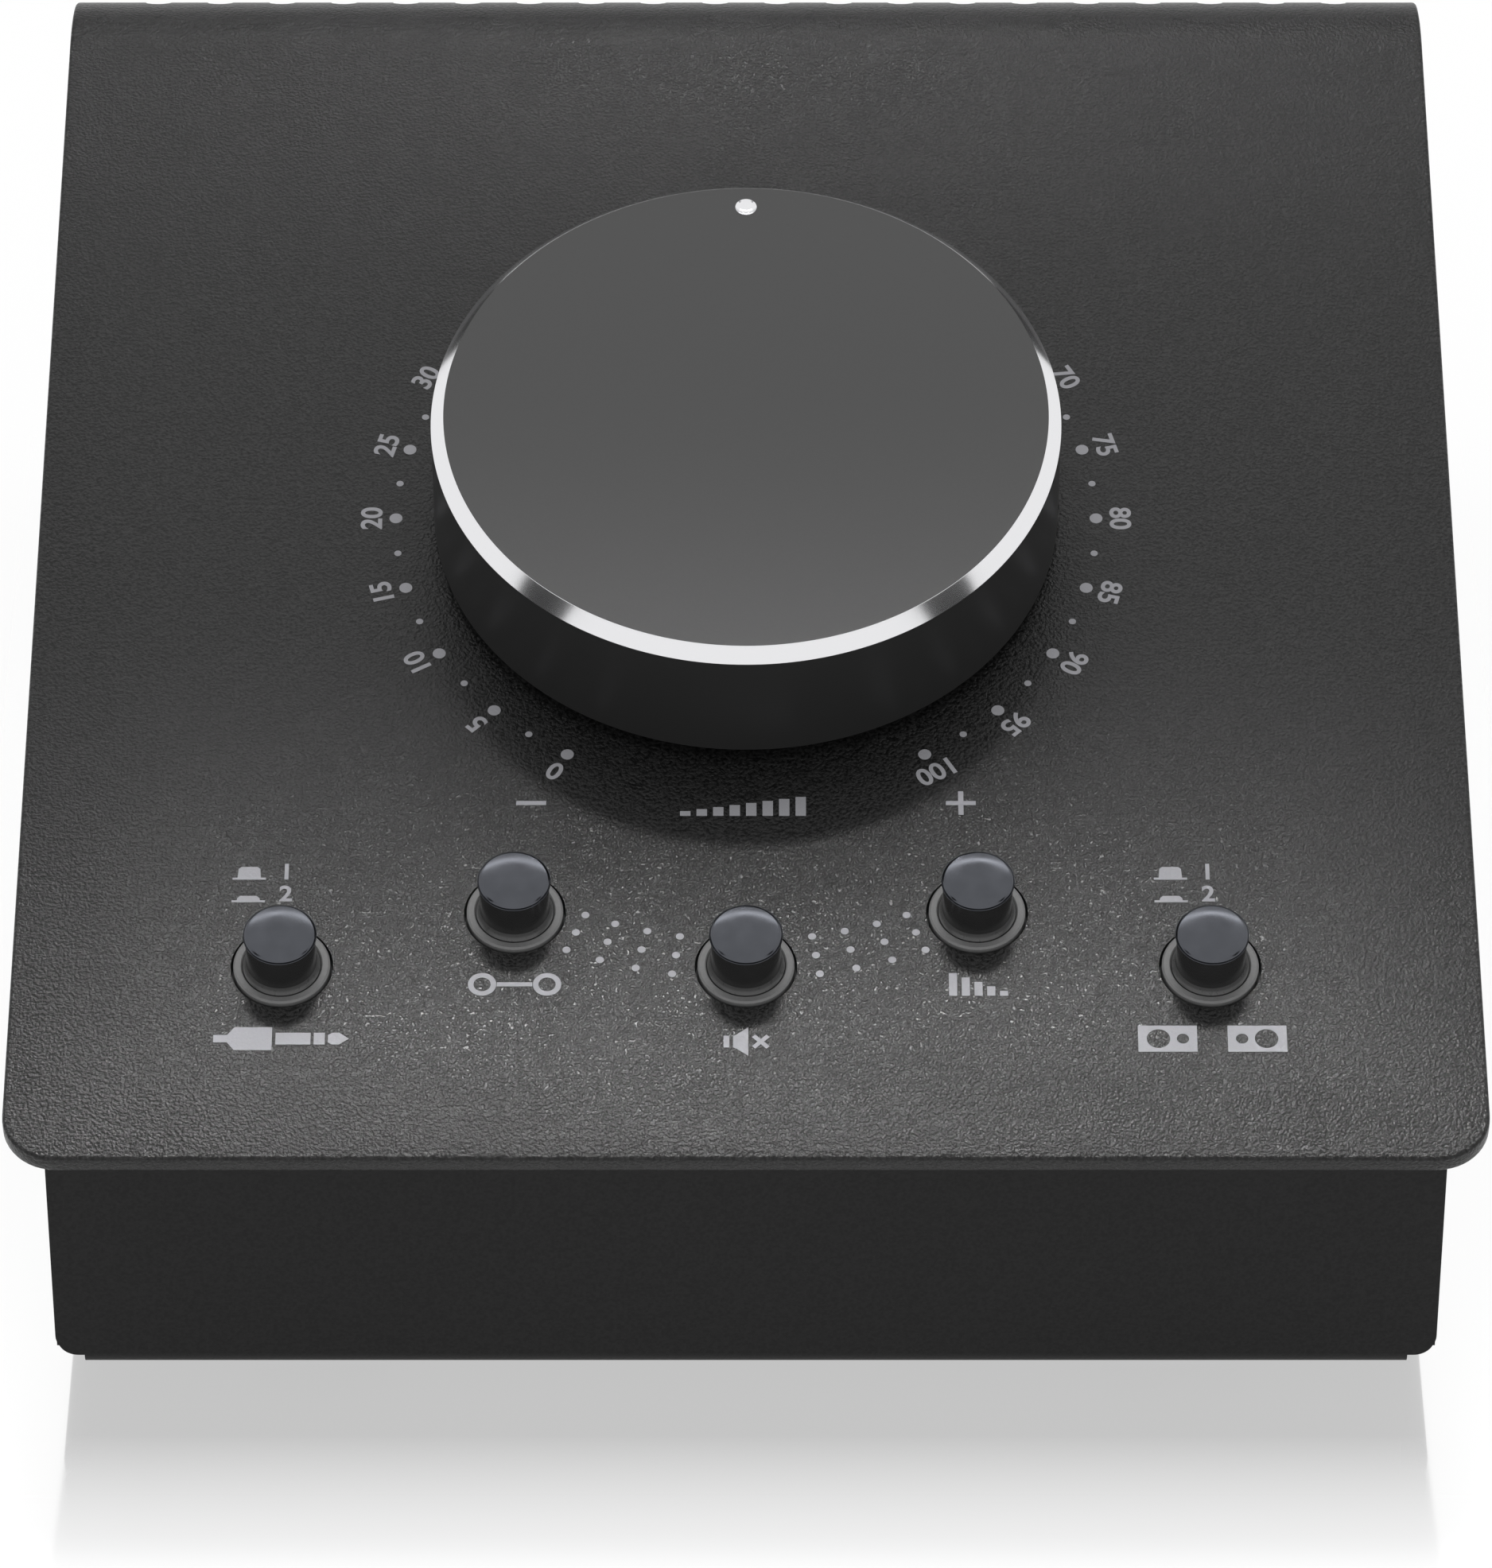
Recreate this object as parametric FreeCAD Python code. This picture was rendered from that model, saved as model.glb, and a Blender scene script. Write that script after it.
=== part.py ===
import FreeCAD, Part
import math
import os
from FreeCAD import Vector

# A desktop monitor controller: a bent steel cover over a folded steel tray, one large
# volume knob, five push buttons and a row of eight jack sockets at the back.
# Millimetres. X is right, Y is back, Z is up. The origin is on the desk, under the middle.
# The panel has its own axes: u is along X, v is up the slope and w stands off the panel.
# Their origin is where the knob's axis meets the top of the panel.

# Cover: one plate, bent once at the back
cover_width = 145.0
cover_thickness = 2.1
panel_tilt = 13.0
panel_front_reach = 81.5
panel_rear_reach = 66.4
rear_bend_radius = 15.0
front_corner_radius = 5.4
rear_skirt_clearance = 2.0

# Tray: floor, front flange, two side walls and a low rear flange
tray_width = 137.0
tray_sheet = 1.2
tray_bend_radius = 2.0
tray_depth_below_panel = 49.0
front_overhang = 3.7
flange_corner_radius = 2.3
flange_bend_relief = 2.8
rear_flange_height = 13.0
wall_clearance = 0.2

# Rubber feet
foot_width = 14.3
foot_length = 14.3
foot_height = 5.6
foot_corner_radius = 2.0
foot_edge_chamfer = 0.6
foot_spacing = 86.0
foot_inset = 13.0

# Ventilation slots, cut round the rear bend
vent_count = 20
vent_pitch = 6.7
vent_width = 2.8
vent_top_angle = 25.0
vent_bottom_angle = 90.0

# Volume knob: a turned metal cap on a moulded core
knob_radius = 31.95
knob_gap = 1.5
knob_height = 15.1
knob_bevel = 1.3
knob_side_wall = 2.0
knob_top_wall = 2.5
knob_foot_chamfer = 0.3
dimple_radius = 1.1
dimple_depth = 0.45
dimple_centre_radius = 28.05
core_disc_thickness = 2.0
core_clearance = 0.05
hub_radius = 6.0
hub_gap = 0.5
core_rib_count = 8
core_rib_thickness = 1.4
core_rib_height = 6.0
core_rib_root = 1.0
core_rib_end_gap = 1.0

# Potentiometer under the knob
shaft_radius = 3.0
shaft_flat_depth = 1.5
shaft_flat_length = 8.0
shaft_end_gap = 0.4
running_clearance = 0.05
rotor_radius = 6.2
rotor_thickness = 2.6
rotor_clearance = 0.2
bushing_radius = 3.5
bushing_height = 4.7
bushing_hole_clearance = 0.1
pot_plate_size = 17.0
pot_plate_thickness = 1.3
pot_plate_corner_radius = 1.0
pot_body_radius = 8.25
pot_washer_radius = 6.0
pot_washer_thickness = 0.6
pot_nut_flats = 10.0
pot_nut_thickness = 2.0

# Push buttons, their guide rings and their switches
button_spacing = 22.9
outer_button_v = -58.0
inner_button_v = -51.3
button_hole_radius = 5.06
ring_radius = 4.78
ring_rise = 0.4
ring_bore_radius = 3.92
ring_flange_radius = 6.2
ring_flange_thickness = 1.0
button_base_radius = 3.85
button_neck_radius = 3.58
button_head_radius = 3.62
button_base_depth = 0.5
button_neck_height = 4.85
button_top_height = 5.85
button_edge_bevel = 0.55
button_crown = 0.16
button_bore_depth = 4.0
plunger_size = 3.2
plunger_overlap = 3.9
plunger_guide_clearance = 0.1
plunger_end_clearance = 0.3
button_travel = 2.5
switch_size = 8.5
switch_height = 8.0
switch_corner_radius = 0.5

# Circuit boards, and the size of the screws
board_thickness = 1.6
board_corner_radius = 2.0
control_board_side_margin = 8.0
control_board_front_margin = 8.0
control_board_rear_v = 16.0
screw_radius = 1.45
screw_hole_clearance = 0.15
thread_clearance = 0.05
screw_head_flats = 5.5
screw_head_height = 1.7

# Jack sockets in the rear fold
jack_count = 8
jack_pitch = 15.6
jack_height = 29.0
jack_body_width = 13.5
jack_body_length = 27.0
jack_bushing_radius = 4.5
jack_bushing_reach = 3.7
jack_bore_radius = 3.3
jack_bore_depth = 31.0
jack_hole_clearance = 0.1
jack_nut_flats = 12.0
jack_nut_thickness = 2.2
jack_board_width = 124.0
jack_board_front_margin = 9.0
jack_board_rear_gap = 1.0

# Ribbon between the boards, and its two headers
header_width = 17.0
header_length = 6.0
header_height = 7.0
header_edge_margin = 1.5
ribbon_width = 12.7
ribbon_thickness = 0.9
ribbon_bend_radius = 6.0
ribbon_lead = 3.0
ribbon_bend_share = 0.45

# Brackets under the cover, and the screws that join cover and tray
bracket_thickness = 1.5
bracket_bend_radius = 2.25
bracket_flange = 9.5
bracket_leg = 11.0
bracket_front_v = -62.0
bracket_rear_v = 52.0
side_screw_front_v = -44.0
side_screw_rear_v = 40.0
side_screw_depth = 6.6
case_screw_length = 5.0
rear_screw_spacing = 112.0
rear_screw_height = 7.4

# How far a cutting shape runs past the face that it opens
overshoot = 1.0

# Worked out from the sizes above
tilt = math.radians(panel_tilt)
panel_cos = math.cos(tilt)
panel_sin = math.sin(tilt)
half_cover = cover_width / 2
half_tray = tray_width / 2
front_edge_offset = panel_front_reach * panel_cos
rear_face_offset = (panel_rear_reach * panel_cos
                    + rear_bend_radius * panel_sin + rear_bend_radius)
panel_y = (front_edge_offset - rear_face_offset - jack_bushing_reach) / 2
tray_bottom = foot_height
panel_z = tray_bottom + tray_depth_below_panel
rear_face_y = panel_y + rear_face_offset
bend_y = rear_face_y - rear_bend_radius
bend_z = panel_z + panel_rear_reach * panel_sin - rear_bend_radius * panel_cos
front_face_y = panel_y - front_edge_offset + front_overhang
tray_rear_y = rear_face_y - cover_thickness
control_board_half = 2 * button_spacing + control_board_side_margin
control_board_front_v = outer_button_v - control_board_front_margin
board_top_w = -(cover_thickness + ring_flange_thickness + switch_height)

button_places = [
    ("source", -2 * button_spacing, outer_button_v),
    ("mono", -button_spacing, inner_button_v),
    ("mute", 0.0, outer_button_v),
    ("dim", button_spacing, inner_button_v),
    ("monitor", 2 * button_spacing, outer_button_v),
]
jack_names = [
    "input_a_left", "input_a_right", "input_b_left", "input_b_right",
    "output_a_left", "output_a_right", "output_b_left", "output_b_right",
]


def save(name, shape):
    shape.exportStep(os.path.join("parts", name + ".step"))


def on_panel(shape):
    """Carry a shape built in the panel's own axes to its place on the object."""
    place = FreeCAD.Placement(Vector(0, panel_y, panel_z),
                              FreeCAD.Rotation(Vector(1, 0, 0), panel_tilt))
    return shape.transformed(place.toMatrix(), True)


def panel_point(v, w, x=0.0):
    """The point at v up the slope and w off the panel."""
    y = panel_y + v * panel_cos - w * panel_sin
    z = panel_z + v * panel_sin + w * panel_cos
    return Vector(x, y, z)


def bend_point(radius, angle):
    """A point on an arc about the rear bend's axis, its angle measured from straight up."""
    a = math.radians(angle)
    return Vector(0, bend_y + radius * math.sin(a), bend_z + radius * math.cos(a))


def cylinder(radius, bottom, top, x=0.0, y=0.0):
    return Part.makeCylinder(radius, top - bottom, Vector(x, y, bottom))


def block(x0, x1, y0, y1, z0, z1):
    return Part.makeBox(x1 - x0, y1 - y0, z1 - z0, Vector(x0, y0, z0))


def rounded_block(x0, x1, y0, y1, z0, z1, radius):
    """A block with its four upright edges rounded."""
    shape = block(x0, x1, y0, y1, z0, z1)
    upright = [e for e in shape.Edges if abs(e.Vertexes[0].Z - e.Vertexes[1].Z) > 1e-6]
    return shape.makeFillet(radius, upright)


def turned(profile):
    """Revolve a closed outline of (radius, height) corners about the Z axis."""
    points = [Vector(r, 0, h) for r, h in profile]
    face = Part.Face(Part.makePolygon(points + points[:1]))
    return face.revolve(Vector(0, 0, 0), Vector(0, 0, 1), 360)


def hexagon(flats, bottom, top):
    """An upright hexagonal prism, centred on the Z axis."""
    corner = flats / math.sqrt(3)
    points = [Vector(corner * math.cos(math.radians(60 * i + 30)),
                     corner * math.sin(math.radians(60 * i + 30)), bottom) for i in range(6)]
    face = Part.Face(Part.makePolygon(points + points[:1]))
    return face.extrude(Vector(0, 0, top - bottom))


def hex_nut(flats, thickness, bore):
    """A nut on the Z axis, standing on z = 0."""
    return hexagon(flats, 0, thickness).cut(cylinder(bore, -overshoot, thickness + overshoot))


def washer(radius, bore, thickness):
    return cylinder(radius, 0, thickness).cut(cylinder(bore, -overshoot, thickness + overshoot))


def machine_screw(length):
    """A hexagon-headed screw: its head stands up from z = 0 and its shank hangs below."""
    head = hexagon(screw_head_flats, 0, screw_head_height)
    return head.fuse(cylinder(screw_radius, -length, 0))


def turn_to(shape, direction, place):
    """Turn a shape built along +Z to face a direction, and put it at a place."""
    rotation = FreeCAD.Rotation(Vector(0, 0, 1), direction)
    return shape.transformed(FreeCAD.Placement(place, rotation).toMatrix(), True)


def jack_x(index):
    return (index - (jack_count - 1) / 2) * jack_pitch


def vent_cutter():
    """One slot at x = 0, cut square through the plate from angle to angle round the bend."""
    reach = rear_bend_radius + overshoot
    depth = rear_bend_radius - cover_thickness - overshoot
    angles = (vent_top_angle, (vent_top_angle + vent_bottom_angle) / 2, vent_bottom_angle)
    outer = [bend_point(reach, a) for a in angles]
    inner = [bend_point(depth, a) for a in reversed(angles)]
    outline = Part.Wire([
        Part.Arc(*outer).toShape(),
        Part.makeLine(outer[2], inner[0]),
        Part.Arc(*inner).toShape(),
        Part.makeLine(inner[2], outer[0]),
    ])
    slot = Part.Face(outline).extrude(Vector(vent_width, 0, 0))
    return slot.translated(Vector(-vent_width / 2, 0, 0))


def top_cover():
    """The plate's side outline, drawn with its rear bend and pulled across the width."""
    start = -panel_tilt
    middle = (start + 90) / 2
    inner_radius = rear_bend_radius - cover_thickness
    skirt_z = tray_bottom + rear_skirt_clearance
    front_top = panel_point(-panel_front_reach, 0)
    front_under = panel_point(-panel_front_reach, -cover_thickness)
    outer = [bend_point(rear_bend_radius, a) for a in (start, middle, 90)]
    inner = [bend_point(inner_radius, a) for a in (90, middle, start)]
    outer_skirt = Vector(0, rear_face_y, skirt_z)
    inner_skirt = Vector(0, tray_rear_y, skirt_z)
    outline = Part.Wire([
        Part.makeLine(front_top, outer[0]),
        Part.Arc(*outer).toShape(),
        Part.makeLine(outer[2], outer_skirt),
        Part.makeLine(outer_skirt, inner_skirt),
        Part.makeLine(inner_skirt, inner[0]),
        Part.Arc(*inner).toShape(),
        Part.makeLine(inner[2], front_under),
        Part.makeLine(front_under, front_top),
    ])
    plate = Part.Face(outline).extrude(Vector(cover_width, 0, 0))
    plate.translate(Vector(-half_cover, 0, 0))

    front_y = (front_top.y + front_under.y) / 2
    corners = [e for e in plate.Edges
               if abs(abs(e.CenterOfMass.x) - half_cover) < 1e-3
               and abs(e.CenterOfMass.y - front_y) < 1e-3]
    plate = plate.makeFillet(front_corner_radius, corners)

    depth = cover_thickness + 2 * overshoot
    holes = [cylinder(bushing_radius + bushing_hole_clearance, -depth, overshoot)]
    for name, u, v in button_places:
        holes.append(cylinder(button_hole_radius, -depth, overshoot, u, v))
    cutters = [on_panel(hole) for hole in holes]

    slot = vent_cutter()
    for i in range(vent_count):
        x = (i - (vent_count - 1) / 2) * vent_pitch
        cutters.append(slot.translated(Vector(x, 0, 0)))
    jack_hole = jack_bushing_radius + jack_hole_clearance
    for i in range(jack_count):
        place = Vector(jack_x(i), tray_rear_y - overshoot, jack_height)
        cutters.append(Part.makeCylinder(jack_hole, depth, place, Vector(0, 1, 0)))
    for x in (-rear_screw_spacing / 2, rear_screw_spacing / 2):
        place = Vector(x, tray_rear_y - overshoot, tray_bottom + rear_screw_height)
        cutters.append(Part.makeCylinder(screw_radius + screw_hole_clearance, depth, place,
                                         Vector(0, 1, 0)))
    return plate.cut(cutters)


def wedge_outline():
    """What fits under the cover: the side walls' outline, pulled across the tray's width."""
    gap = cover_thickness + wall_clearance
    radius = rear_bend_radius - gap
    front_y = front_face_y + tray_sheet
    slope_start_v = (front_y - panel_y - gap * panel_sin) / panel_cos
    slope_start = panel_point(slope_start_v, -gap)
    arc = [bend_point(radius, a) for a in (-panel_tilt, (90 - panel_tilt) / 2, 90)]
    front_low = Vector(0, slope_start.y, tray_bottom - overshoot)
    rear_low = Vector(0, arc[2].y, tray_bottom - overshoot)
    outline = Part.Wire([
        Part.makeLine(front_low, slope_start),
        Part.makeLine(slope_start, arc[0]),
        Part.Arc(*arc).toShape(),
        Part.makeLine(arc[2], rear_low),
        Part.makeLine(rear_low, front_low),
    ])
    wedge = Part.Face(outline).extrude(Vector(tray_width + 2 * overshoot, 0, 0))
    return wedge.translated(Vector(-half_tray - overshoot, 0, 0))


def folded_sheet(points, bend_radius, sheet, pull):
    """A sheet bent once: a straight run, a quarter bend and a second straight run.

    points are the outer ends and the outer corner, and the sheet lies inside them.
    """
    first, corner, last = points
    along = (first - corner).normalize()
    up = (last - corner).normalize()
    centre = corner + (along + up) * bend_radius
    inner_radius = bend_radius - sheet
    diagonal = (along + up).normalize()
    outer_mid = centre - diagonal * bend_radius
    inner_mid = centre - diagonal * inner_radius
    outer_start = corner + along * bend_radius
    outer_end = corner + up * bend_radius
    inner_start = outer_start + up * sheet
    inner_end = outer_end + along * sheet
    outline = Part.Wire([
        Part.makeLine(first, outer_start),
        Part.Arc(outer_start, outer_mid, outer_end).toShape(),
        Part.makeLine(outer_end, last),
        Part.makeLine(last, last + along * sheet),
        Part.makeLine(last + along * sheet, inner_end),
        Part.Arc(inner_end, inner_mid, inner_start).toShape(),
        Part.makeLine(inner_start, first + up * sheet),
        Part.makeLine(first + up * sheet, first),
    ])
    return Part.Face(outline).extrude(pull)


def base_tray():
    """Floor and side walls cut to the wedge under the cover, then the two end flanges."""
    inset = tray_bend_radius
    wall_top = panel_z + rear_bend_radius + panel_rear_reach * panel_sin
    floor_front = front_face_y + tray_bend_radius
    floor_rear = tray_rear_y - tray_bend_radius
    run = Vector(0, tray_rear_y - front_face_y, 0)
    walls = []
    for side in (-1, 1):
        middle = Vector(0, front_face_y, tray_bottom)
        corner = Vector(side * half_tray, front_face_y, tray_bottom)
        top = Vector(side * half_tray, front_face_y, wall_top)
        walls.append(folded_sheet((middle, corner, top), tray_bend_radius, tray_sheet, run))
    channel = walls[0].fuse(walls[1]).common(wedge_outline())
    reach = half_tray + overshoot
    front_end = block(-reach, reach, front_face_y, floor_front,
                      tray_bottom - overshoot, tray_bottom + inset)
    rear_end = block(-reach, reach, floor_rear, tray_rear_y,
                     tray_bottom - overshoot, tray_bottom + inset)
    channel = channel.cut([front_end, rear_end])

    bend_width = tray_width - 2 * flange_bend_relief
    pull = Vector(bend_width, 0, 0)
    left = -bend_width / 2
    under_gap = cover_thickness + wall_clearance
    top_v = (front_face_y + tray_sheet - panel_y) / panel_cos
    flange_top = panel_point(top_v, 0).z - (under_gap + tray_sheet * panel_sin) / panel_cos
    front = folded_sheet(
        (Vector(left, floor_front + overshoot, tray_bottom), Vector(left, front_face_y, tray_bottom),
         Vector(left, front_face_y, flange_top)), tray_bend_radius, tray_sheet, pull)
    rear = folded_sheet(
        (Vector(left, floor_rear - overshoot, tray_bottom), Vector(left, tray_rear_y, tray_bottom),
         Vector(left, tray_rear_y, tray_bottom + rear_flange_height)),
        tray_bend_radius, tray_sheet, pull)
    face_plate = block(-half_tray, half_tray, front_face_y, front_face_y + tray_sheet,
                       tray_bottom + inset, flange_top)
    lower_corners = [e for e in face_plate.Edges
                     if abs(e.CenterOfMass.z - tray_bottom - inset) < 1e-3
                     and abs(abs(e.CenterOfMass.x) - half_tray) < 1e-3]
    face_plate = face_plate.makeFillet(flange_corner_radius, lower_corners)
    tray = channel.fuse([front, rear, face_plate]).removeSplitter()

    cutters = []
    for side in (-1, 1):
        for v in (side_screw_front_v, side_screw_rear_v):
            place = panel_point(v, -cover_thickness - side_screw_depth, side * half_tray)
            cutters.append(turn_to(cylinder(screw_radius + screw_hole_clearance,
                                            -2 * tray_sheet, tray_sheet),
                                   Vector(side, 0, 0), place))
        place = Vector(side * rear_screw_spacing / 2, tray_rear_y,
                       tray_bottom + rear_screw_height)
        cutters.append(turn_to(cylinder(screw_radius + thread_clearance,
                                        -2 * tray_sheet, tray_sheet), Vector(0, 1, 0), place))
    return tray.cut(cutters)


def foot(x, y):
    """A stick-on rubber block with rounded corners and an eased lower edge."""
    half_w = foot_width / 2
    half_l = foot_length / 2
    body = rounded_block(x - half_w, x + half_w, y - half_l, y + half_l, 0, foot_height,
                         foot_corner_radius)
    lower = [e for e in body.Edges if max(p.Z for p in e.Vertexes) < 1e-6]
    return body.makeChamfer(foot_edge_chamfer, lower)


def side_bracket(side):
    """An angle spot-welded under the cover, its leg flat against the tray's side wall."""
    outer = half_tray - tray_sheet
    under = -cover_thickness
    start = Vector(side * (outer - bracket_flange), bracket_front_v, under)
    corner = Vector(side * outer, bracket_front_v, under)
    end = Vector(side * outer, bracket_front_v, under - bracket_leg)
    length = Vector(0, bracket_rear_v - bracket_front_v, 0)
    angle = folded_sheet((start, corner, end), bracket_bend_radius, bracket_thickness, length)
    holes = []
    for v in (side_screw_front_v, side_screw_rear_v):
        place = Vector(side * outer, v, under - side_screw_depth)
        holes.append(turn_to(cylinder(screw_radius + thread_clearance,
                                      -2 * bracket_thickness, bracket_thickness),
                             Vector(side, 0, 0), place))
    return on_panel(angle.cut(holes))


def knob_cap():
    """A turned cup: straight side, bevelled rim, flat top with one drilled dimple."""
    bottom = knob_gap
    top = knob_gap + knob_height
    inner = knob_radius - knob_side_wall
    ceiling = top - knob_top_wall
    cup = turned([
        (inner, bottom),
        (knob_radius - knob_foot_chamfer, bottom),
        (knob_radius, bottom + knob_foot_chamfer),
        (knob_radius, top - knob_bevel),
        (knob_radius - knob_bevel, top),
        (0, top),
        (0, ceiling),
        (inner, ceiling),
    ])
    dimple = Part.makeCone(0, dimple_radius, dimple_depth,
                           Vector(0, dimple_centre_radius, top - dimple_depth))
    return on_panel(cup.cut(dimple))


def shaft_section(radius, bottom, top, flat_bottom):
    """The D-shaped shaft end: round, with one side flat above flat_bottom."""
    rod = cylinder(radius, bottom, top)
    edge = shaft_radius - shaft_flat_depth + (radius - shaft_radius)
    return rod.cut(block(-radius, radius, edge, radius + overshoot, flat_bottom, top + overshoot))


def knob_core():
    """The moulded disc, hub and ribs that carry the cap on the shaft."""
    ceiling = knob_gap + knob_height - knob_top_wall
    disc_bottom = ceiling - core_disc_thickness
    hub_bottom = bushing_height + hub_gap
    disc_radius = knob_radius - knob_side_wall - core_clearance
    core = cylinder(disc_radius, disc_bottom, ceiling)
    core = core.fuse(cylinder(hub_radius, hub_bottom, ceiling))
    rib = block(hub_radius - core_rib_root, disc_radius - core_rib_end_gap,
                -core_rib_thickness / 2, core_rib_thickness / 2,
                disc_bottom - core_rib_height, disc_bottom)
    for i in range(core_rib_count):
        turned_rib = rib.copy()
        turned_rib.rotate(Vector(0, 0, 0), Vector(0, 0, 1), i * 360 / core_rib_count)
        core = core.fuse(turned_rib)
    shaft_top = ceiling - shaft_end_gap
    flat_bottom = shaft_top - shaft_flat_length
    bore = shaft_section(shaft_radius + core_clearance, hub_bottom - overshoot,
                         ceiling - shaft_end_gap / 2, flat_bottom + core_clearance)
    return on_panel(core.removeSplitter().cut(bore))


def pot_shaft():
    """The shaft, with the rotor disc that keeps it in the potentiometer."""
    top = knob_gap + knob_height - knob_top_wall - shaft_end_gap
    plate_under = -cover_thickness - pot_plate_thickness
    rotor_top = plate_under - rotor_clearance
    shaft = shaft_section(shaft_radius, rotor_top - rotor_thickness, top,
                          top - shaft_flat_length)
    rotor = cylinder(rotor_radius, rotor_top - rotor_thickness, rotor_top)
    return on_panel(shaft.fuse(rotor))


def pot_bushing():
    """The die-cast front plate and its threaded bushing, up through the cover."""
    half = pot_plate_size / 2
    under = -cover_thickness
    plate_under = under - pot_plate_thickness
    plate = rounded_block(-half, half, -half, half, plate_under, under,
                          pot_plate_corner_radius)
    barrel = cylinder(bushing_radius, under, bushing_height)
    bore = cylinder(shaft_radius + running_clearance, plate_under - overshoot,
                    bushing_height + overshoot)
    return on_panel(plate.fuse(barrel).cut(bore))


def pot_body():
    """The round can below the plate, hollow where the rotor turns."""
    top = -cover_thickness - pot_plate_thickness
    chamber_depth = rotor_thickness + 2 * rotor_clearance
    can = cylinder(pot_body_radius, board_top_w, top)
    chamber = cylinder(rotor_radius + rotor_clearance, top - chamber_depth, top + overshoot)
    return on_panel(can.cut(chamber))


def pot_washer():
    ring = washer(pot_washer_radius, bushing_radius + thread_clearance, pot_washer_thickness)
    return on_panel(ring)


def pot_nut():
    nut = hex_nut(pot_nut_flats, pot_nut_thickness, bushing_radius + thread_clearance)
    return on_panel(nut.translated(Vector(0, 0, pot_washer_thickness)))


def button_ring(u, v):
    """The guide ring that stands in the cover's hole, its flange against the plate."""
    under = -cover_thickness
    foot = under - ring_flange_thickness
    ring = turned([
        (ring_bore_radius, foot),
        (ring_flange_radius, foot),
        (ring_flange_radius, under),
        (ring_radius, under),
        (ring_radius, ring_rise),
        (ring_bore_radius, ring_rise),
    ])
    return on_panel(ring.translated(Vector(u, v, 0)))


def push_button(u, v):
    """A plated cap: a slightly flared body and a bevelled head with a low crown."""
    shoulder = button_head_radius - button_edge_bevel
    bevel_top = button_top_height - button_crown
    corners = [
        (button_base_radius, -button_base_depth),
        (button_neck_radius, button_neck_height),
        (button_head_radius, button_neck_height),
        (button_head_radius, bevel_top - button_edge_bevel),
        (shoulder, bevel_top),
    ]
    side = [Vector(radius, 0, height) for radius, height in corners]
    crown_radius = (shoulder ** 2 + button_crown ** 2) / (2 * button_crown)
    crown_x = shoulder / 2
    crown_z = button_top_height - crown_radius + math.sqrt(crown_radius ** 2 - crown_x ** 2)
    apex = Vector(0, 0, button_top_height)
    axis_foot = Vector(0, 0, -button_base_depth)
    lines = [Part.makeLine(a, b) for a, b in zip(side, side[1:])]
    outline = Part.Wire(lines + [
        Part.Arc(side[-1], Vector(crown_x, 0, crown_z), apex).toShape(),
        Part.makeLine(apex, axis_foot),
        Part.makeLine(axis_foot, side[0]),
    ])
    cap = Part.Face(outline).revolve(Vector(0, 0, 0), Vector(0, 0, 1), 360)
    half = plunger_size / 2
    socket = block(-half, half, -half, half, -button_base_depth - overshoot,
                   button_bore_depth - button_base_depth)
    return on_panel(cap.cut(socket).translated(Vector(u, v, 0)))


def plunger_foot():
    """The height of the plunger's lower end, clear of the switch's floor when pressed."""
    return board_top_w + plunger_end_clearance * 2 + button_travel


def switch_plunger(u, v):
    """The square stem between the cap and the switch."""
    half = plunger_size / 2
    stem = block(-half, half, -half, half, plunger_foot(), plunger_overlap - button_base_depth)
    return on_panel(stem.translated(Vector(u, v, 0)))


def switch_body(u, v):
    """The switch's can, with the square guide that its stem slides in."""
    half = switch_size / 2
    top = board_top_w + switch_height
    can = rounded_block(-half, half, -half, half, board_top_w, top, switch_corner_radius)
    guide_half = plunger_size / 2 + plunger_guide_clearance
    guide = block(-guide_half, guide_half, -guide_half, guide_half,
                  board_top_w + plunger_end_clearance, top + overshoot)
    return on_panel(can.cut(guide).translated(Vector(u, v, 0)))


def control_board():
    """The board under the panel, which carries the potentiometer and the switches."""
    half = control_board_half
    return on_panel(rounded_block(-half, half, control_board_front_v, control_board_rear_v,
                                  board_top_w - board_thickness, board_top_w,
                                  board_corner_radius))


def jack_socket(index):
    """A moulded socket body with its threaded bushing and one plain bore."""
    half = jack_body_width / 2
    x = jack_x(index)
    body = block(x - half, x + half, tray_rear_y - jack_body_length, tray_rear_y,
                 jack_height - half, jack_height + half)
    mouth_y = rear_face_y + jack_bushing_reach
    back = Vector(0, 1, 0)
    barrel = Part.makeCylinder(jack_bushing_radius, mouth_y - tray_rear_y,
                               Vector(x, tray_rear_y, jack_height), back)
    bore = Part.makeCylinder(jack_bore_radius, jack_bore_depth + overshoot,
                             Vector(x, mouth_y - jack_bore_depth, jack_height), back)
    return body.fuse(barrel).cut(bore)


def jack_nuts():
    """A nut on each socket's bushing, tight against the cover's rear fold."""
    nut = hex_nut(jack_nut_flats, jack_nut_thickness, jack_bushing_radius + thread_clearance)
    return Part.makeCompound([
        turn_to(nut, Vector(0, 1, 0), Vector(jack_x(i), rear_face_y, jack_height))
        for i in range(jack_count)])


def jack_board():
    """The level board that the eight sockets stand on."""
    half = jack_board_width / 2
    top = jack_height - jack_body_width / 2
    front = tray_rear_y - jack_body_length - jack_board_front_margin
    return rounded_block(-half, half, front, tray_rear_y - jack_board_rear_gap,
                         top - board_thickness, top, board_corner_radius)


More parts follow.
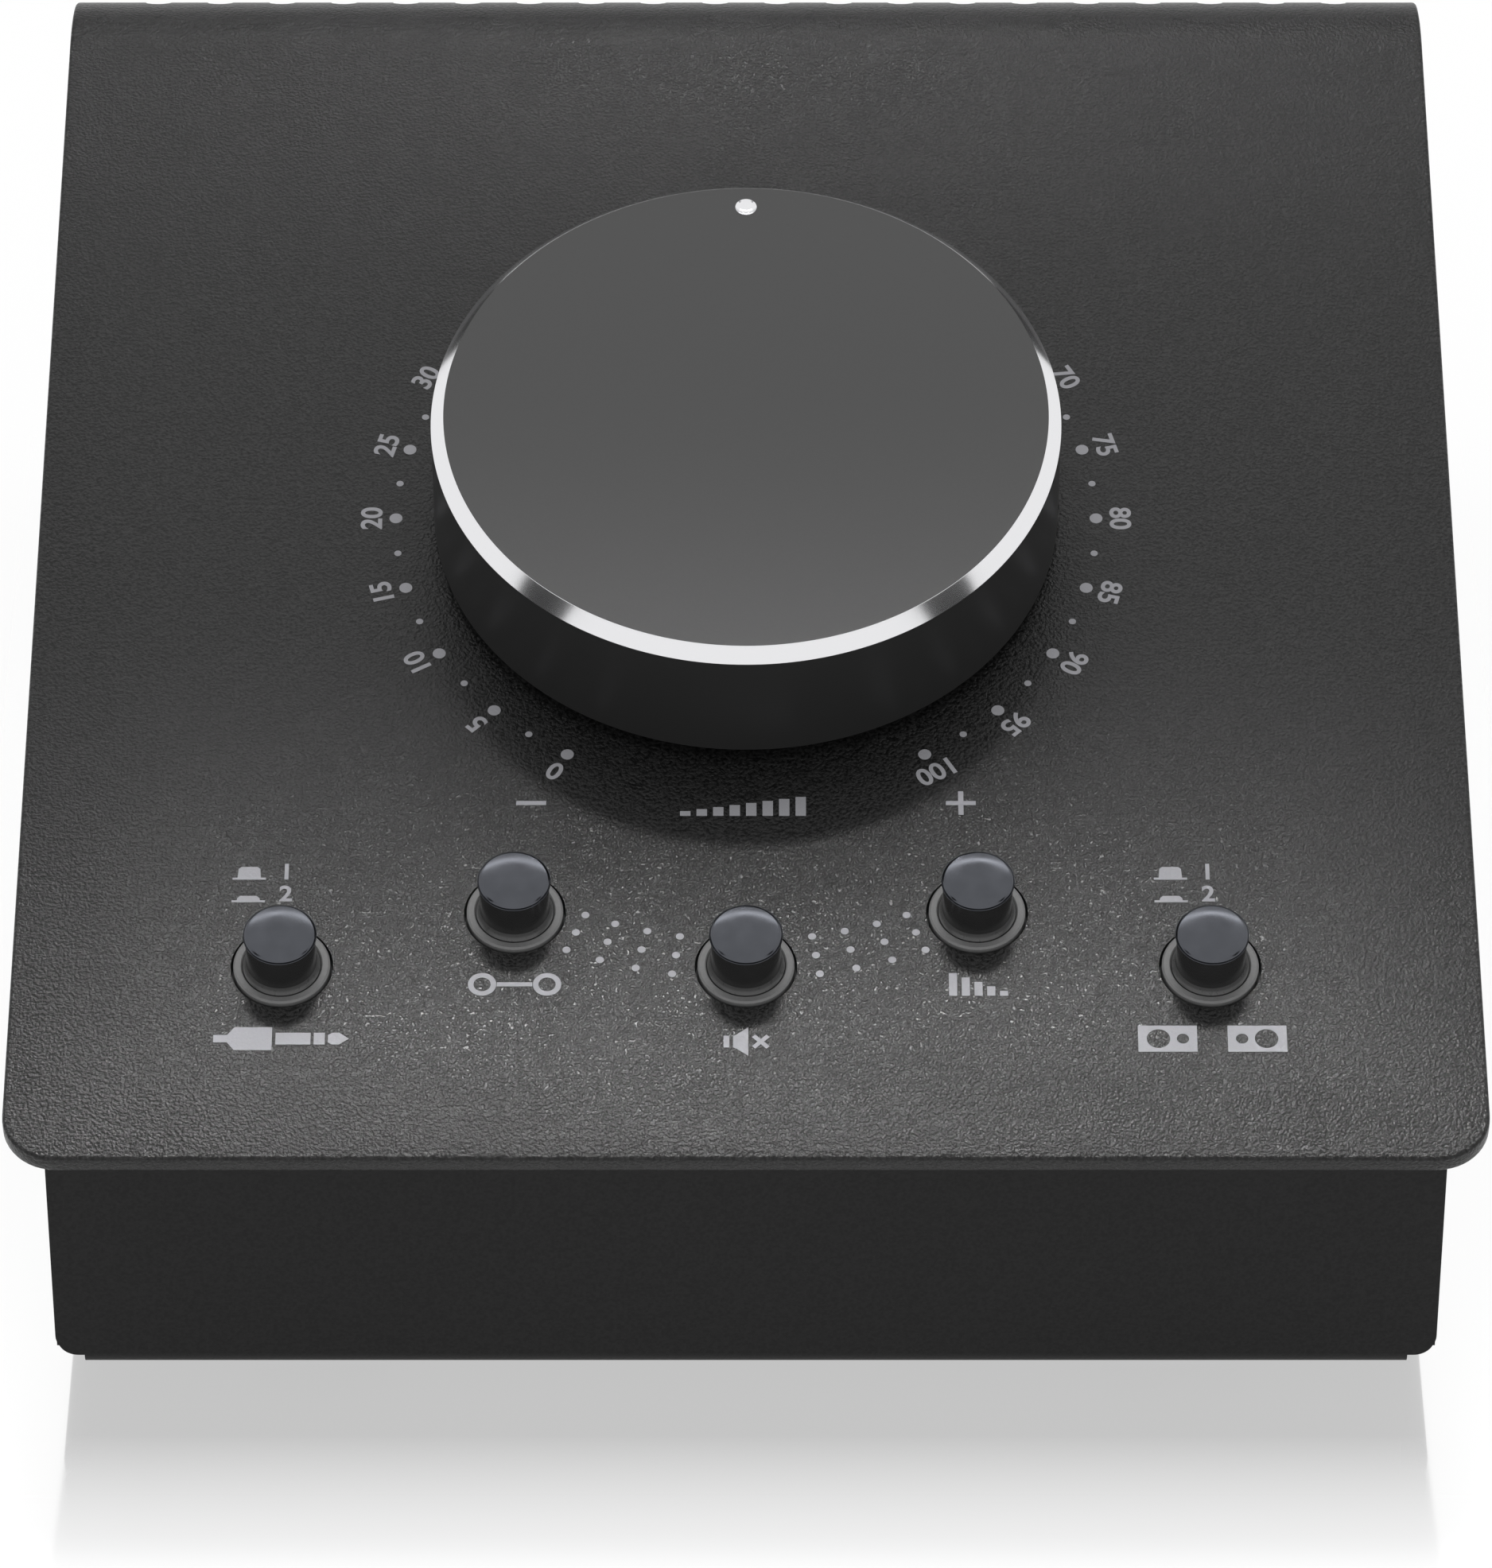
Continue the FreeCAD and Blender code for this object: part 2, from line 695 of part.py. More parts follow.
def header_places():
    """The middle of each header's cable side: (y, z, direction of the cable)."""
    under = board_top_w - board_thickness
    rear_v = control_board_rear_v - header_edge_margin
    upper = panel_point(rear_v, under - header_height / 2)
    upper_way = Vector(0, panel_cos, panel_sin)
    board_top = jack_height - jack_body_width / 2
    front = tray_rear_y - jack_body_length - jack_board_front_margin + header_edge_margin
    lower = Vector(0, front, board_top + header_height / 2)
    return upper, upper_way, lower, Vector(0, -1, 0)


def control_board_header():
    """The plug and socket under the control board's rear edge."""
    half = header_width / 2
    under = board_top_w - board_thickness
    rear_v = control_board_rear_v - header_edge_margin
    return on_panel(block(-half, half, rear_v - header_length, rear_v,
                          under - header_height, under))


def jack_board_header():
    """The plug and socket on the jack board's front edge."""
    half = header_width / 2
    board_top = jack_height - jack_body_width / 2
    front = tray_rear_y - jack_body_length - jack_board_front_margin + header_edge_margin
    return block(-half, half, front, front + header_length, board_top,
                 board_top + header_height)


def ribbon_cable():
    """A flat ribbon from one header to the other: three straight runs and two bends."""
    upper, upper_way, lower, lower_way = header_places()
    first = upper + upper_way * (ribbon_lead + ribbon_bend_radius / 2)
    second = lower + lower_way * (ribbon_lead + ribbon_bend_radius / 2)
    corners = [upper, first, second, lower]
    start = corners[0]
    edges = []
    for before, corner, after in zip(corners, corners[1:], corners[2:]):
        back = (before - corner).normalize()
        ahead = (after - corner).normalize()
        half_turn = back.getAngle(ahead) / 2
        reach = min(ribbon_bend_radius / math.tan(half_turn),
                    ribbon_bend_share * (before - corner).Length,
                    ribbon_bend_share * (after - corner).Length)
        radius = reach * math.tan(half_turn)
        bisector = (back + ahead).normalize()
        centre = corner + bisector * (radius / math.sin(half_turn))
        arc_start = corner + back * reach
        arc_end = corner + ahead * reach
        edges.append(Part.makeLine(start, arc_start))
        edges.append(Part.Arc(arc_start, centre - bisector * radius, arc_end).toShape())
        start = arc_end
    edges.append(Part.makeLine(start, corners[-1]))
    path = Part.Wire(edges)
    across = Vector(1, 0, 0)
    rise = across.cross(upper_way)
    half_w = ribbon_width / 2
    half_t = ribbon_thickness / 2
    section = Part.makePolygon([upper + across * a + rise * b for a, b in (
        (-half_w, -half_t), (half_w, -half_t), (half_w, half_t), (-half_w, half_t),
        (-half_w, -half_t))])
    return path.makePipeShell([section], True, False)


def side_screws():
    """Two screws through each side wall into its bracket."""
    screws = []
    for side in (-1, 1):
        for v in (side_screw_front_v, side_screw_rear_v):
            place = panel_point(v, -cover_thickness - side_screw_depth, side * half_tray)
            screws.append(turn_to(machine_screw(case_screw_length), Vector(side, 0, 0), place))
    return Part.makeCompound(screws)


def rear_screws():
    """Two screws through the cover's rear fold into the tray's rear flange."""
    screws = []
    for side in (-1, 1):
        place = Vector(side * rear_screw_spacing / 2, rear_face_y,
                       tray_bottom + rear_screw_height)
        screws.append(turn_to(machine_screw(case_screw_length), Vector(0, 1, 0), place))
    return Part.makeCompound(screws)


save("top_cover", top_cover())
save("base_tray", base_tray())
save("side_brackets", Part.makeCompound([side_bracket(-1), side_bracket(1)]))
save("side_screws", side_screws())
save("rear_screws", rear_screws())

front_foot_y = front_face_y + foot_inset + foot_length / 2
rear_foot_y = rear_face_y - foot_inset - foot_length / 2
for end, foot_y in (("front", front_foot_y), ("rear", rear_foot_y)):
    save("foot_" + end + "_left", foot(-foot_spacing / 2, foot_y))
    save("foot_" + end + "_right", foot(foot_spacing / 2, foot_y))

save("knob_cap", knob_cap())
save("knob_core", knob_core())
save("pot_shaft", pot_shaft())
save("pot_bushing", pot_bushing())
save("pot_body", pot_body())
save("pot_washer", pot_washer())
save("pot_nut", pot_nut())

for name, u, v in button_places:
    save(name + "_button", push_button(u, v))
    save(name + "_guide_ring", button_ring(u, v))
    save(name + "_plunger", switch_plunger(u, v))
    save(name + "_switch", switch_body(u, v))

save("control_board", control_board())
save("control_board_header", control_board_header())
save("jack_board", jack_board())
save("jack_board_header", jack_board_header())
save("ribbon_cable", ribbon_cable())

for index, name in enumerate(jack_names):
    save("jack_" + name, jack_socket(index))
save("jack_nuts", jack_nuts())
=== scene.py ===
import bpy
import math
from mathutils import Matrix, Vector


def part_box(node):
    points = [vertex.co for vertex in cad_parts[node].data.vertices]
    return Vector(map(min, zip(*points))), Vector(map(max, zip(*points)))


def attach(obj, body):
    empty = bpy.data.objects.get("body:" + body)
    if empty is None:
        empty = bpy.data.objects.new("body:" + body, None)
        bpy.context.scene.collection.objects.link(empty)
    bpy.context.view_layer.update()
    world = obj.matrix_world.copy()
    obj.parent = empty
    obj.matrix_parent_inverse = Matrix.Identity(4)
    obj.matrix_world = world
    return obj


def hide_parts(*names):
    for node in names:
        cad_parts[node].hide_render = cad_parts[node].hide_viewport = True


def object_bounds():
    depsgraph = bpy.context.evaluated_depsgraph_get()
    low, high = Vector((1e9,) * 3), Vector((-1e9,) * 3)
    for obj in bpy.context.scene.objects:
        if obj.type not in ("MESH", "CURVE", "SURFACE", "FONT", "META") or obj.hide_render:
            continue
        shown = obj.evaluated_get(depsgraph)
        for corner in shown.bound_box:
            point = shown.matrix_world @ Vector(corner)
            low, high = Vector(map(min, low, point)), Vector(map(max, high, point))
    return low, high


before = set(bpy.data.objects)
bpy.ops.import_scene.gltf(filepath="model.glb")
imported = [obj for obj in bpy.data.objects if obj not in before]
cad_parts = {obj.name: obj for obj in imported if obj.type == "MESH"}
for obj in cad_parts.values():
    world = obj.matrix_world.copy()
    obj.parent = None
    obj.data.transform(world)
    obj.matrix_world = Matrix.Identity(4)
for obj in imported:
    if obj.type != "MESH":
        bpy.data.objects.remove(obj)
cad_low, cad_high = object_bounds()

# Camera: the unit is seen from straight ahead and above through a long lens, as on a
# product table. The tilt, distance and lens come from the dial's circles in the picture.
mm = 0.001
panel_tilt = math.radians(13.0)
panel_normal = Vector((0, -math.sin(panel_tilt), math.cos(panel_tilt)))
washer_thickness = 0.6 * mm
washer_low, washer_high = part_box("pot_washer")
panel_centre = (washer_low + washer_high) / 2 - panel_normal * washer_thickness / 2
view_pitch = math.radians(38.3555)
view_distance = 933.52 * mm
view_rise = 27.268 * mm
ahead = Vector((0, math.cos(view_pitch), -math.sin(view_pitch)))
above = Vector((0, math.sin(view_pitch), math.cos(view_pitch)))
bpy.ops.object.camera_add(location=panel_centre - ahead * view_distance - above * view_rise,
                          rotation=(math.pi / 2 - view_pitch, 0, 0))
camera = bpy.context.object
camera.data.sensor_width = 36
camera.data.lens = 208.74
bpy.context.scene.camera = camera
bpy.context.scene.view_settings.view_transform = "Standard"


# Table and light: a white table that mirrors the unit close by, a white room, soft lamps
# above, in front and behind, two narrow ones, and dark cards that shiny surfaces mirror.
class Link:
    """A shader socket that takes part in sums."""

    def __init__(self, finish, socket):
        self.finish = finish
        self.socket = socket

    def maths(self, operation, *others):
        return self.finish.maths(operation, self, *others)

    def __add__(self, other):
        return self.maths("ADD", other)

    def __sub__(self, other):
        return self.maths("SUBTRACT", other)

    def __rsub__(self, other):
        return self.finish.maths("SUBTRACT", other, self)

    def __mul__(self, other):
        return self.maths("MULTIPLY", other)

    def __truediv__(self, other):
        return self.maths("DIVIDE", other)

    def clamped(self):
        return self.maths("MAXIMUM", 0.0).maths("MINIMUM", 1.0)

    __radd__ = __add__


class Finish:
    """A procedural material: its main shader, and one method for every other node."""

    def __init__(self, name, **values):
        self.material = bpy.data.materials.new(name)
        self.material.use_nodes = True
        self.tree = self.material.node_tree
        self.shader = self.tree.nodes["Principled BSDF"]
        self.output = self.tree.nodes["Material Output"]
        for socket, value in values.items():
            self.feed(self.shader.inputs[socket.replace("_", " ")], value)

    def feed(self, socket, value):
        if isinstance(value, Link):
            self.tree.links.new(value.socket, socket)
        elif socket.type == "RGBA" and len(value) == 3:
            socket.default_value = (*value, 1)
        else:
            socket.default_value = value

    def node(self, kind, settings, values, output=0):
        made = self.tree.nodes.new(kind)
        for name, value in settings.items():
            setattr(made, name, value)
        for name, value in values.items():
            self.feed(made.inputs[name], value)
        return Link(self, made.outputs[output])

    def maths(self, operation, *terms):
        return self.node("ShaderNodeMath", {"operation": operation}, dict(enumerate(terms)))

    def place(self):
        return self.node("ShaderNodeTexCoord", {}, {}, "Object")

    def axes(self):
        split = self.node("ShaderNodeSeparateXYZ", {}, {"Vector": self.place()})
        node = split.socket.node
        return [Link(self, node.outputs[axis]) for axis in "XYZ"]

    def noise(self, size, detail=2.0, roughness=0.5):
        """Cloudy noise whose blobs are about this size, from 0 to 1."""
        return self.node("ShaderNodeTexNoise", {},
                         {"Vector": self.place(), "Scale": 1 / size, "Detail": detail,
                          "Roughness": roughness}, "Fac")

    def blend(self, share, first, second):
        """A colour between two, by share."""
        return self.node("ShaderNodeMix", {"data_type": "RGBA"},
                         {0: share, 6: first, 7: second}, 2)

    def relief(self, height, depth, strength=1.0):
        self.feed(self.shader.inputs["Normal"], self.node(
            "ShaderNodeBump", {},
            {"Height": height, "Distance": depth, "Strength": strength}, "Normal"))


def grey(level):
    return (level, level, level)


def white_to_viewer(finish):
    """1 for rays from the camera, or by way of a mirror or glass, and 0 for light."""
    path = finish.node("ShaderNodeLightPath", {}, {}, "Is Camera Ray")
    outputs = path.socket.node.outputs
    seen = path + Link(finish, outputs["Is Glossy Ray"])
    return (seen + Link(finish, outputs["Is Transmission Ray"])).clamped()


table_colour = grey(0.9)
table_own_white = 0.9
table_shine = 0.41
table_shine_fade = 32 * mm
bpy.ops.mesh.primitive_plane_add(size=12)
table = bpy.context.object
table.name = "table"
table_white = Finish("table_white", Base_Color=table_colour, Roughness=0.6)
from_camera = white_to_viewer(table_white)
own_light = table_white.node("ShaderNodeEmission", {}, {"Color": grey(1.0), "Strength": 1.0})
mirror = table_white.node("ShaderNodeBsdfGlossy", {},
                          {"Color": grey(1.0), "Roughness": 0.06})
lit = Link(table_white, table_white.shader.outputs[0])
table_look = table_white.node("ShaderNodeMixShader", {},
                              {0: from_camera * table_own_white, 1: lit, 2: own_light})
table_place = table_white.axes()
beside = (table_place[0].maths("ABSOLUTE") - cad_high.x).maths("MAXIMUM", 0.0)
before = (table_place[1].maths("ABSOLUTE") - cad_high.y).maths("MAXIMUM", 0.0)
away = (beside * beside + before * before).maths("SQRT")
nearness = (1.0 - away / table_shine_fade).clamped()
nearness = nearness * nearness
shiny_look = table_white.node("ShaderNodeMixShader", {},
                              {0: from_camera * nearness * table_shine,
                               1: table_look, 2: mirror})
table_white.tree.links.new(shiny_look.socket, table_white.output.inputs["Surface"])
table.data.materials.append(table_white.material)

class Room(Finish):
    """The white room round the table, made with the same methods as a material."""

    def __init__(self, name):
        self.world = bpy.data.worlds.new(name)
        self.world.use_nodes = True
        self.tree = self.world.node_tree
        self.shader = self.tree.nodes["Background"]


room_light = 0.55
room = Room("room")
bpy.context.scene.world = room.world
room.feed(room.shader.inputs["Color"], grey(1.0))
room.feed(room.shader.inputs["Strength"],
          room_light + white_to_viewer(room) * (1.0 - room_light))


def lamp(name, place, aim, size, power):
    bpy.ops.object.light_add(type="AREA", location=place)
    made = bpy.context.object
    made.name = name
    made.rotation_euler = (Vector(aim) - Vector(place)).to_track_quat("-Z", "Y").to_euler()
    made.data.shape = "RECTANGLE"
    made.data.size, made.data.size_y = size
    made.data.energy = power
    return made


overhead = lamp("overhead_lamp", (0, 0.12, 0.8), (0, 0, 0.05), (0.6, 0.4), 3.2)
front = lamp("front_lamp", (0, -0.9, 0.45), (0, -0.08, 0.03), (0.8, 0.25), 2.0)
overhead.visible_glossy = False
front.visible_glossy = False
lamp("rear_lamp", (0, 0.587, 0.782), (0, 0.07, 0.07), (0.9, 0.08), 1.2)
front_beam = lamp("front_beam", (0, 0.105, 0.44), (0, -0.105, 0.025), (0.5, 0.05), 0.12)
front_beam.data.spread = math.radians(15)
bend_beam = lamp("bend_beam", (0, 0.364, 0.475), (0, 0.07, 0.07), (0.5, 0.02), 0.012)
bend_beam.data.spread = math.radians(8)


def dark_card(name, way, distance, width, height):
    """A black card that only shiny surfaces see, as studios use to shape reflections."""
    middle = panel_centre + way * distance
    bpy.ops.mesh.primitive_plane_add(size=1, location=middle)
    card = bpy.context.object
    card.name = name
    card.scale = (width, height, 1)
    card.rotation_euler = way.to_track_quat("Z", "Y").to_euler()
    card.visible_camera = False
    card.visible_diffuse = False
    card.visible_shadow = False
    card.visible_transmission = False
    card.data.materials.append(card_black.material)


card_black = Finish("card_black", Base_Color=grey(0.05), Roughness=1.0,
                    Specular_IOR_Level=0.0)
card_distance = 0.6
cards = [(-150, -2, 0.16, 0.3), (-62, 22, 0.16, 0.3), (62, 22, 0.16, 0.3),
         (150, -2, 0.16, 0.3), (180, 15, 0.9, 0.2)]
for azimuth, lift, width, height in cards:
    side = math.radians(azimuth)
    rise = math.radians(lift)
    toward = Vector((math.sin(side) * math.cos(rise), -math.cos(side) * math.cos(rise),
                     math.sin(rise)))
    dark_card("card_%d" % azimuth, toward, card_distance, width, height)


# Cover: one steel plate, bent at the back and slotted round the bend. It has a coarse,
# leathery powder coat, and its cut edges are rounded by the same coat.
panel_turn = Matrix.Translation(panel_centre) @ Matrix.Rotation(panel_tilt, 4, "X")
coat_grain = 0.34 * mm


def coat(name, colour, roughness, depth, gloss):
    """Powder coat: small soft wrinkles, a little uneven in gloss, with painted shade in the hollows
    and painted highlight on the crests.
    """
    finish = Finish(name, Specular_IOR_Level=gloss)
    wrinkle = ((finish.noise(coat_grain, 2.0, 0.5) - 0.5) * 3.2 + 0.5).clamped()
    drift = finish.noise(30 * mm)
    # Painted shade and highlight: the colour is darker in the wrinkles' hollows and lighter on
    # their crests, following the relief.
    finish.feed(finish.shader.inputs["Base Color"],
                finish.blend(wrinkle, grey(colour * 0.3), grey(colour * 1.7)))
    finish.feed(finish.shader.inputs["Roughness"],
                roughness + (wrinkle - 0.5) * 0.1 + (drift - 0.5) * 0.04)
    finish.relief(wrinkle, depth)
    return finish


def dress(node, finish):
    """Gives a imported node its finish."""
    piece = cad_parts[node]
    piece.data.materials.clear()
    piece.data.materials.append(finish.material)


cover_paint = coat("cover_paint", 0.01, 0.34, 0.05 * mm, 0.25)
cover_sheet = 2.1
cover_round = 0.35
front_reach = 81.5
rear_reach = 66.4
bend_radius = 15.0
bend_steps = 26
front_corner = 5.4
cover_low, cover_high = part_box("top_cover")
cover_width = (cover_high.x - cover_low.x) / mm
bend_end_z = panel_centre.z / mm + (rear_reach * math.sin(panel_tilt)
                                    - bend_radius * math.cos(panel_tilt))
bend_end_y = panel_centre.y / mm + (rear_reach * math.cos(panel_tilt)
                                    + bend_radius * math.sin(panel_tilt) + bend_radius)
skirt_length = bend_end_z - cover_low.z / mm


def start_new():
    if bpy.context.object and bpy.context.object.mode != "OBJECT":
        bpy.ops.object.mode_set(mode="OBJECT")
    bpy.ops.object.select_all(action="DESELECT")


def edit(piece):
    start_new()
    piece.select_set(True)
    bpy.context.view_layer.objects.active = piece
    bpy.ops.object.mode_set(mode="EDIT")
    bpy.ops.mesh.select_all(action="DESELECT")


def pick_edges(piece, wanted):
    """Selects the edges whose two ends, in millimetres, pass a test together."""
    bpy.ops.mesh.select_mode(type="EDGE")
    bpy.ops.object.mode_set(mode="OBJECT")
    points = [vertex.co / mm for vertex in piece.data.vertices]
    for edge in piece.data.edges:
        start, end = (points[i] for i in edge.vertices)
        edge.select = wanted(start, end)
    bpy.ops.object.mode_set(mode="EDIT")


def finish_with(piece, kind, **settings):
    """Adds one modifier and applies it."""
    start_new()
    piece.select_set(True)
    bpy.context.view_layer.objects.active = piece
    step = piece.modifiers.new(kind, kind)
    for name, value in settings.items():
        setattr(step, name, value)
    bpy.ops.object.modifier_apply(modifier=step.name)


def put_on_panel(piece, u=0.0, v=0.0, w=0.0):
    """Moves a finished mesh from the origin to a place on the sloping panel."""
    piece.data.transform(panel_turn @ Matrix.Translation(Vector((u, v, w)) * mm))
    return piece


def cut_away(piece, cutter):
    """Cuts one mesh out of another and throws the cutter away."""
    finish_with(piece, "BOOLEAN", operation="DIFFERENCE", solver="EXACT", object=cutter)
    bpy.data.objects.remove(cutter)


def smooth(piece, angle=30):
    start_new()
    piece.select_set(True)
    bpy.context.view_layer.objects.active = piece
    bpy.ops.object.shade_smooth_by_angle(angle=math.radians(angle))
    return piece


def rod(radius, length, sides=64):
    """A plain round cutter on the Z axis, centred on the origin."""
    start_new()
    bpy.ops.mesh.primitive_cylinder_add(vertices=sides, radius=radius * mm, depth=length * mm)
    return bpy.context.object


start_new()
bpy.ops.mesh.primitive_plane_add(size=1)
cover = bpy.context.object
cover.name = "cover_plate"
cover.scale = (cover_width * mm, (front_reach + rear_reach) * mm, 1)
cover.location = (0, (rear_reach - front_reach) / 2 * mm, 0)
bpy.ops.object.transform_apply(location=True, rotation=True, scale=True)
edit(cover)
pick_edges(cover, lambda start, end: min(start.y, end.y) > rear_reach - 0.01)
bpy.ops.mesh.spin(steps=bend_steps, angle=math.pi / 2 + panel_tilt,
                  center=(0, rear_reach * mm, -bend_radius * mm), axis=(1, 0, 0))
down = Vector((0, -math.sin(panel_tilt), -math.cos(panel_tilt))) * skirt_length * mm
bpy.ops.mesh.extrude_region_move(TRANSFORM_OT_translate={"value": down})
bpy.ops.mesh.select_all(action="SELECT")
bpy.ops.mesh.remove_doubles(threshold=0.001 * mm)
bpy.ops.mesh.normals_make_consistent(inside=False)
bpy.ops.object.mode_set(mode="OBJECT")
if cover.data.polygons[0].normal.z < 0:
    cover.data.flip_normals()
finish_with(cover, "SOLIDIFY", thickness=cover_sheet * mm, offset=-1, use_even_offset=True)
edit(cover)
pick_edges(cover, lambda start, end: max(start.y, end.y) < 0.01 - front_reach
           and abs(start.x - end.x) < 0.01)
bpy.ops.mesh.bevel(offset=front_corner * mm, segments=12, affect="EDGES")
bpy.ops.object.mode_set(mode="OBJECT")
finish_with(cover, "BEVEL", width=cover_round * mm, segments=3, limit_method="ANGLE",
            angle_limit=math.radians(60))
put_on_panel(cover)

bushing_hole = 3.6
button_hole = 5.06
button_spacing = 22.9
outer_button_v = -58.0
inner_button_v = -51.3
buttons = {
    "source": (-2 * button_spacing, outer_button_v),
    "mono": (-button_spacing, inner_button_v),
    "mute": (0.0, outer_button_v),
    "dim": (button_spacing, inner_button_v),
    "monitor": (2 * button_spacing, outer_button_v),
}
vent_count = 20
vent_pitch = 6.7
vent_width = 2.8
vent_start = math.radians(25.0)
vent_end = math.radians(90.0)
jack_count = 8
jack_pitch = 15.6
jack_height = 29.0
jack_hole = 4.6
rear_screw_x = 56.0
rear_screw_z = 13.0
screw_hole = 1.6
cutters = [put_on_panel(rod(bushing_hole, 8))]
for u, v in buttons.values():
    cutters.append(put_on_panel(rod(button_hole, 8, 96), u, v))
rear_holes = [((i - (jack_count - 1) / 2) * jack_pitch, jack_height, jack_hole)
              for i in range(jack_count)]
rear_holes += [(side * rear_screw_x, rear_screw_z, screw_hole) for side in (-1, 1)]
for x, z, radius in rear_holes:
    hole = rod(radius, 8)
    hole.data.transform(Matrix.Translation(Vector((x, bend_end_y, z)) * mm)
                        @ Matrix.Rotation(math.pi / 2, 4, "X"))
    cutters.append(hole)

vent_run = (vent_end - vent_start) * bend_radius - vent_width
vent = rod(vent_width / 2, 8, 16)
edit(vent)
bpy.ops.mesh.select_mode(type="VERT")
bpy.ops.object.mode_set(mode="OBJECT")
for vertex in vent.data.vertices:
    vertex.select = vertex.co.y > 0.01 * mm
bpy.ops.object.mode_set(mode="EDIT")
bpy.ops.transform.translate(value=(0, vent_run * mm, 0))
vent_cuts = 12
for i in range(1, vent_cuts):
    bpy.ops.mesh.select_all(action="SELECT")
    bpy.ops.mesh.bisect(plane_co=(0, vent_run * i / vent_cuts * mm, 0), plane_no=(0, 1, 0))
bpy.ops.object.mode_set(mode="OBJECT")
for vertex in vent.data.vertices:
    angle = vent_start + (vertex.co.y / mm + vent_width / 2) / bend_radius
    radius = bend_radius + vertex.co.z / mm
    vertex.co.y = (bend_end_y - bend_radius + radius * math.sin(angle)) * mm
    vertex.co.z = (bend_end_z + radius * math.cos(angle)) * mm
for i in range(vent_count):
    slot = vent.copy()
    slot.data = vent.data.copy()
    slot.data.transform(Matrix.Translation(
        ((i - (vent_count - 1) / 2) * vent_pitch * mm, 0, 0)))
    bpy.context.scene.collection.objects.link(slot)
    cutters.append(slot)
bpy.data.objects.remove(vent)
start_new()
for cutter in cutters:
    cutter.select_set(True)
bpy.context.view_layer.objects.active = cutters[0]
bpy.ops.object.join()
bpy.ops.object.mode_set(mode="EDIT")
bpy.ops.mesh.select_all(action="SELECT")
bpy.ops.mesh.normals_make_consistent(inside=False)
bpy.ops.object.mode_set(mode="OBJECT")
cut_away(cover, cutters[0])
smooth(cover, 35)
cover.data.materials.clear()
cover.data.materials.append(cover_paint.material)
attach(cover, "housing")
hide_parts("top_cover")


# Tray: a folded steel tray under the cover, satin black, with a finer coat than the cover.
# Side and rear screws hold it to the brackets under the cover.
# As on the cover, the coat's colour carries painted shade in the wrinkles' hollows and painted
# highlight on their crests.
tray_paint = coat("tray_paint", 0.0045, 0.5, 0.008 * mm, 0.2)
dress("base_tray", tray_paint)


def stock(name, colour, roughness, grain, depth, metal=0.0):
    """A plain material, a little uneven in colour, gloss and surface at one grain."""
    finish = Finish(name, Metallic=metal)
    cloud = finish.noise(grain * mm, 3.0)
    finish.feed(finish.shader.inputs["Base Color"], finish.blend(
        cloud, [part * 0.85 for part in colour], [part * 1.15 for part in colour]))
    finish.feed(finish.shader.inputs["Roughness"], roughness + (cloud - 0.5) * 0.2)
    finish.relief(cloud, depth * mm)
    return finish


bracket_zinc = stock("bracket_steel", grey(0.5), 0.4, 1.2, 0.002, 1.0)
dress("side_brackets", bracket_zinc)


def joined(parts, name):
    """Makes several meshes one piece."""
    start_new()
    for part in parts:
        part.select_set(True)
    bpy.context.view_layer.objects.active = parts[0]
    if len(parts) > 1:
        bpy.ops.object.join()
    parts[0].name = name
    return parts[0]


def hexagon(flats, height, chamfer):
    """A hexagon standing on the origin, its corners turned down at the top."""
    start_new()
    corner = flats / math.sqrt(3)
    cone_depth = height + chamfer + height / 2
    bpy.ops.mesh.primitive_cylinder_add(vertices=6, radius=corner * mm, depth=height * mm,
                                        location=(0, 0, height / 2 * mm))
    piece = bpy.context.object
    bpy.ops.object.transform_apply(location=True, rotation=True, scale=True)
    bpy.ops.mesh.primitive_cone_add(
        vertices=96, radius1=(corner + chamfer + 2 * height) * mm,
        radius2=(flats / 2 - chamfer) * mm, depth=cone_depth * mm,
        location=(0, 0, (height - cone_depth / 2) * mm))
    turned = bpy.context.object
    finish_with(piece, "BOOLEAN", operation="INTERSECT", solver="EXACT", object=turned)
    bpy.data.objects.remove(turned)
    return piece


def copy_of(piece, name):
    """Another piece with a mesh of its own."""
    twin = piece.copy()
    twin.data = piece.data.copy()
    twin.name = name
    bpy.context.scene.collection.objects.link(twin)
    return twin


screw_black = stock("fastener_steel", grey(0.06), 0.35, 0.3, 0.002, 1.0)
screw_flats = 5.5
screw_head = 1.7
screw_length = 5.0
screw_chamfer = 0.3
screw_slack = 0.15
shank = rod(screw_hole - screw_slack, screw_length, 32)
shank.data.transform(Matrix.Translation((0, 0, -screw_length / 2 * mm)))
screw = smooth(joined([hexagon(screw_flats, screw_head, screw_chamfer), shank], "case_screw"))
screw.data.materials.append(screw_black.material)
tray_half = 68.5
side_screw_depth = -8.7
screws = []
side_screw_places = {"front": -44.0, "rear": 40.0}
for side, side_name in ((-1, "left"), (1, "right")):
    faces_out = Matrix.Rotation(side * math.pi / 2, 4, "Y")
    for end, v in side_screw_places.items():
        made = copy_of(screw, "side_screw_%s_%s" % (end, side_name))
        seat = panel_turn @ Vector((side * tray_half * mm, v * mm, side_screw_depth * mm))
        made.data.transform(Matrix.Translation(seat) @ faces_out)
        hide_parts("side_screws")
        screws.append(made)
    made = copy_of(screw, "rear_screw_" + side_name)
    made.data.transform(
        Matrix.Translation(Vector((side * rear_screw_x, bend_end_y, rear_screw_z)) * mm)
        @ Matrix.Rotation(-math.pi / 2, 4, "X"))
    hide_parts("rear_screws")
    screws.append(made)
bpy.data.objects.remove(screw)
for made in screws:
    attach(made, "housing")


# Feet: four moulded blocks of black rubber, a little rough from their mould. They are
# glued under the tray.
rubber = stock("foot_rubber", grey(0.012), 0.75, 0.5, 0.02)
for place in ("front_left", "front_right", "rear_left", "rear_right"):
    dress("foot_" + place, rubber)


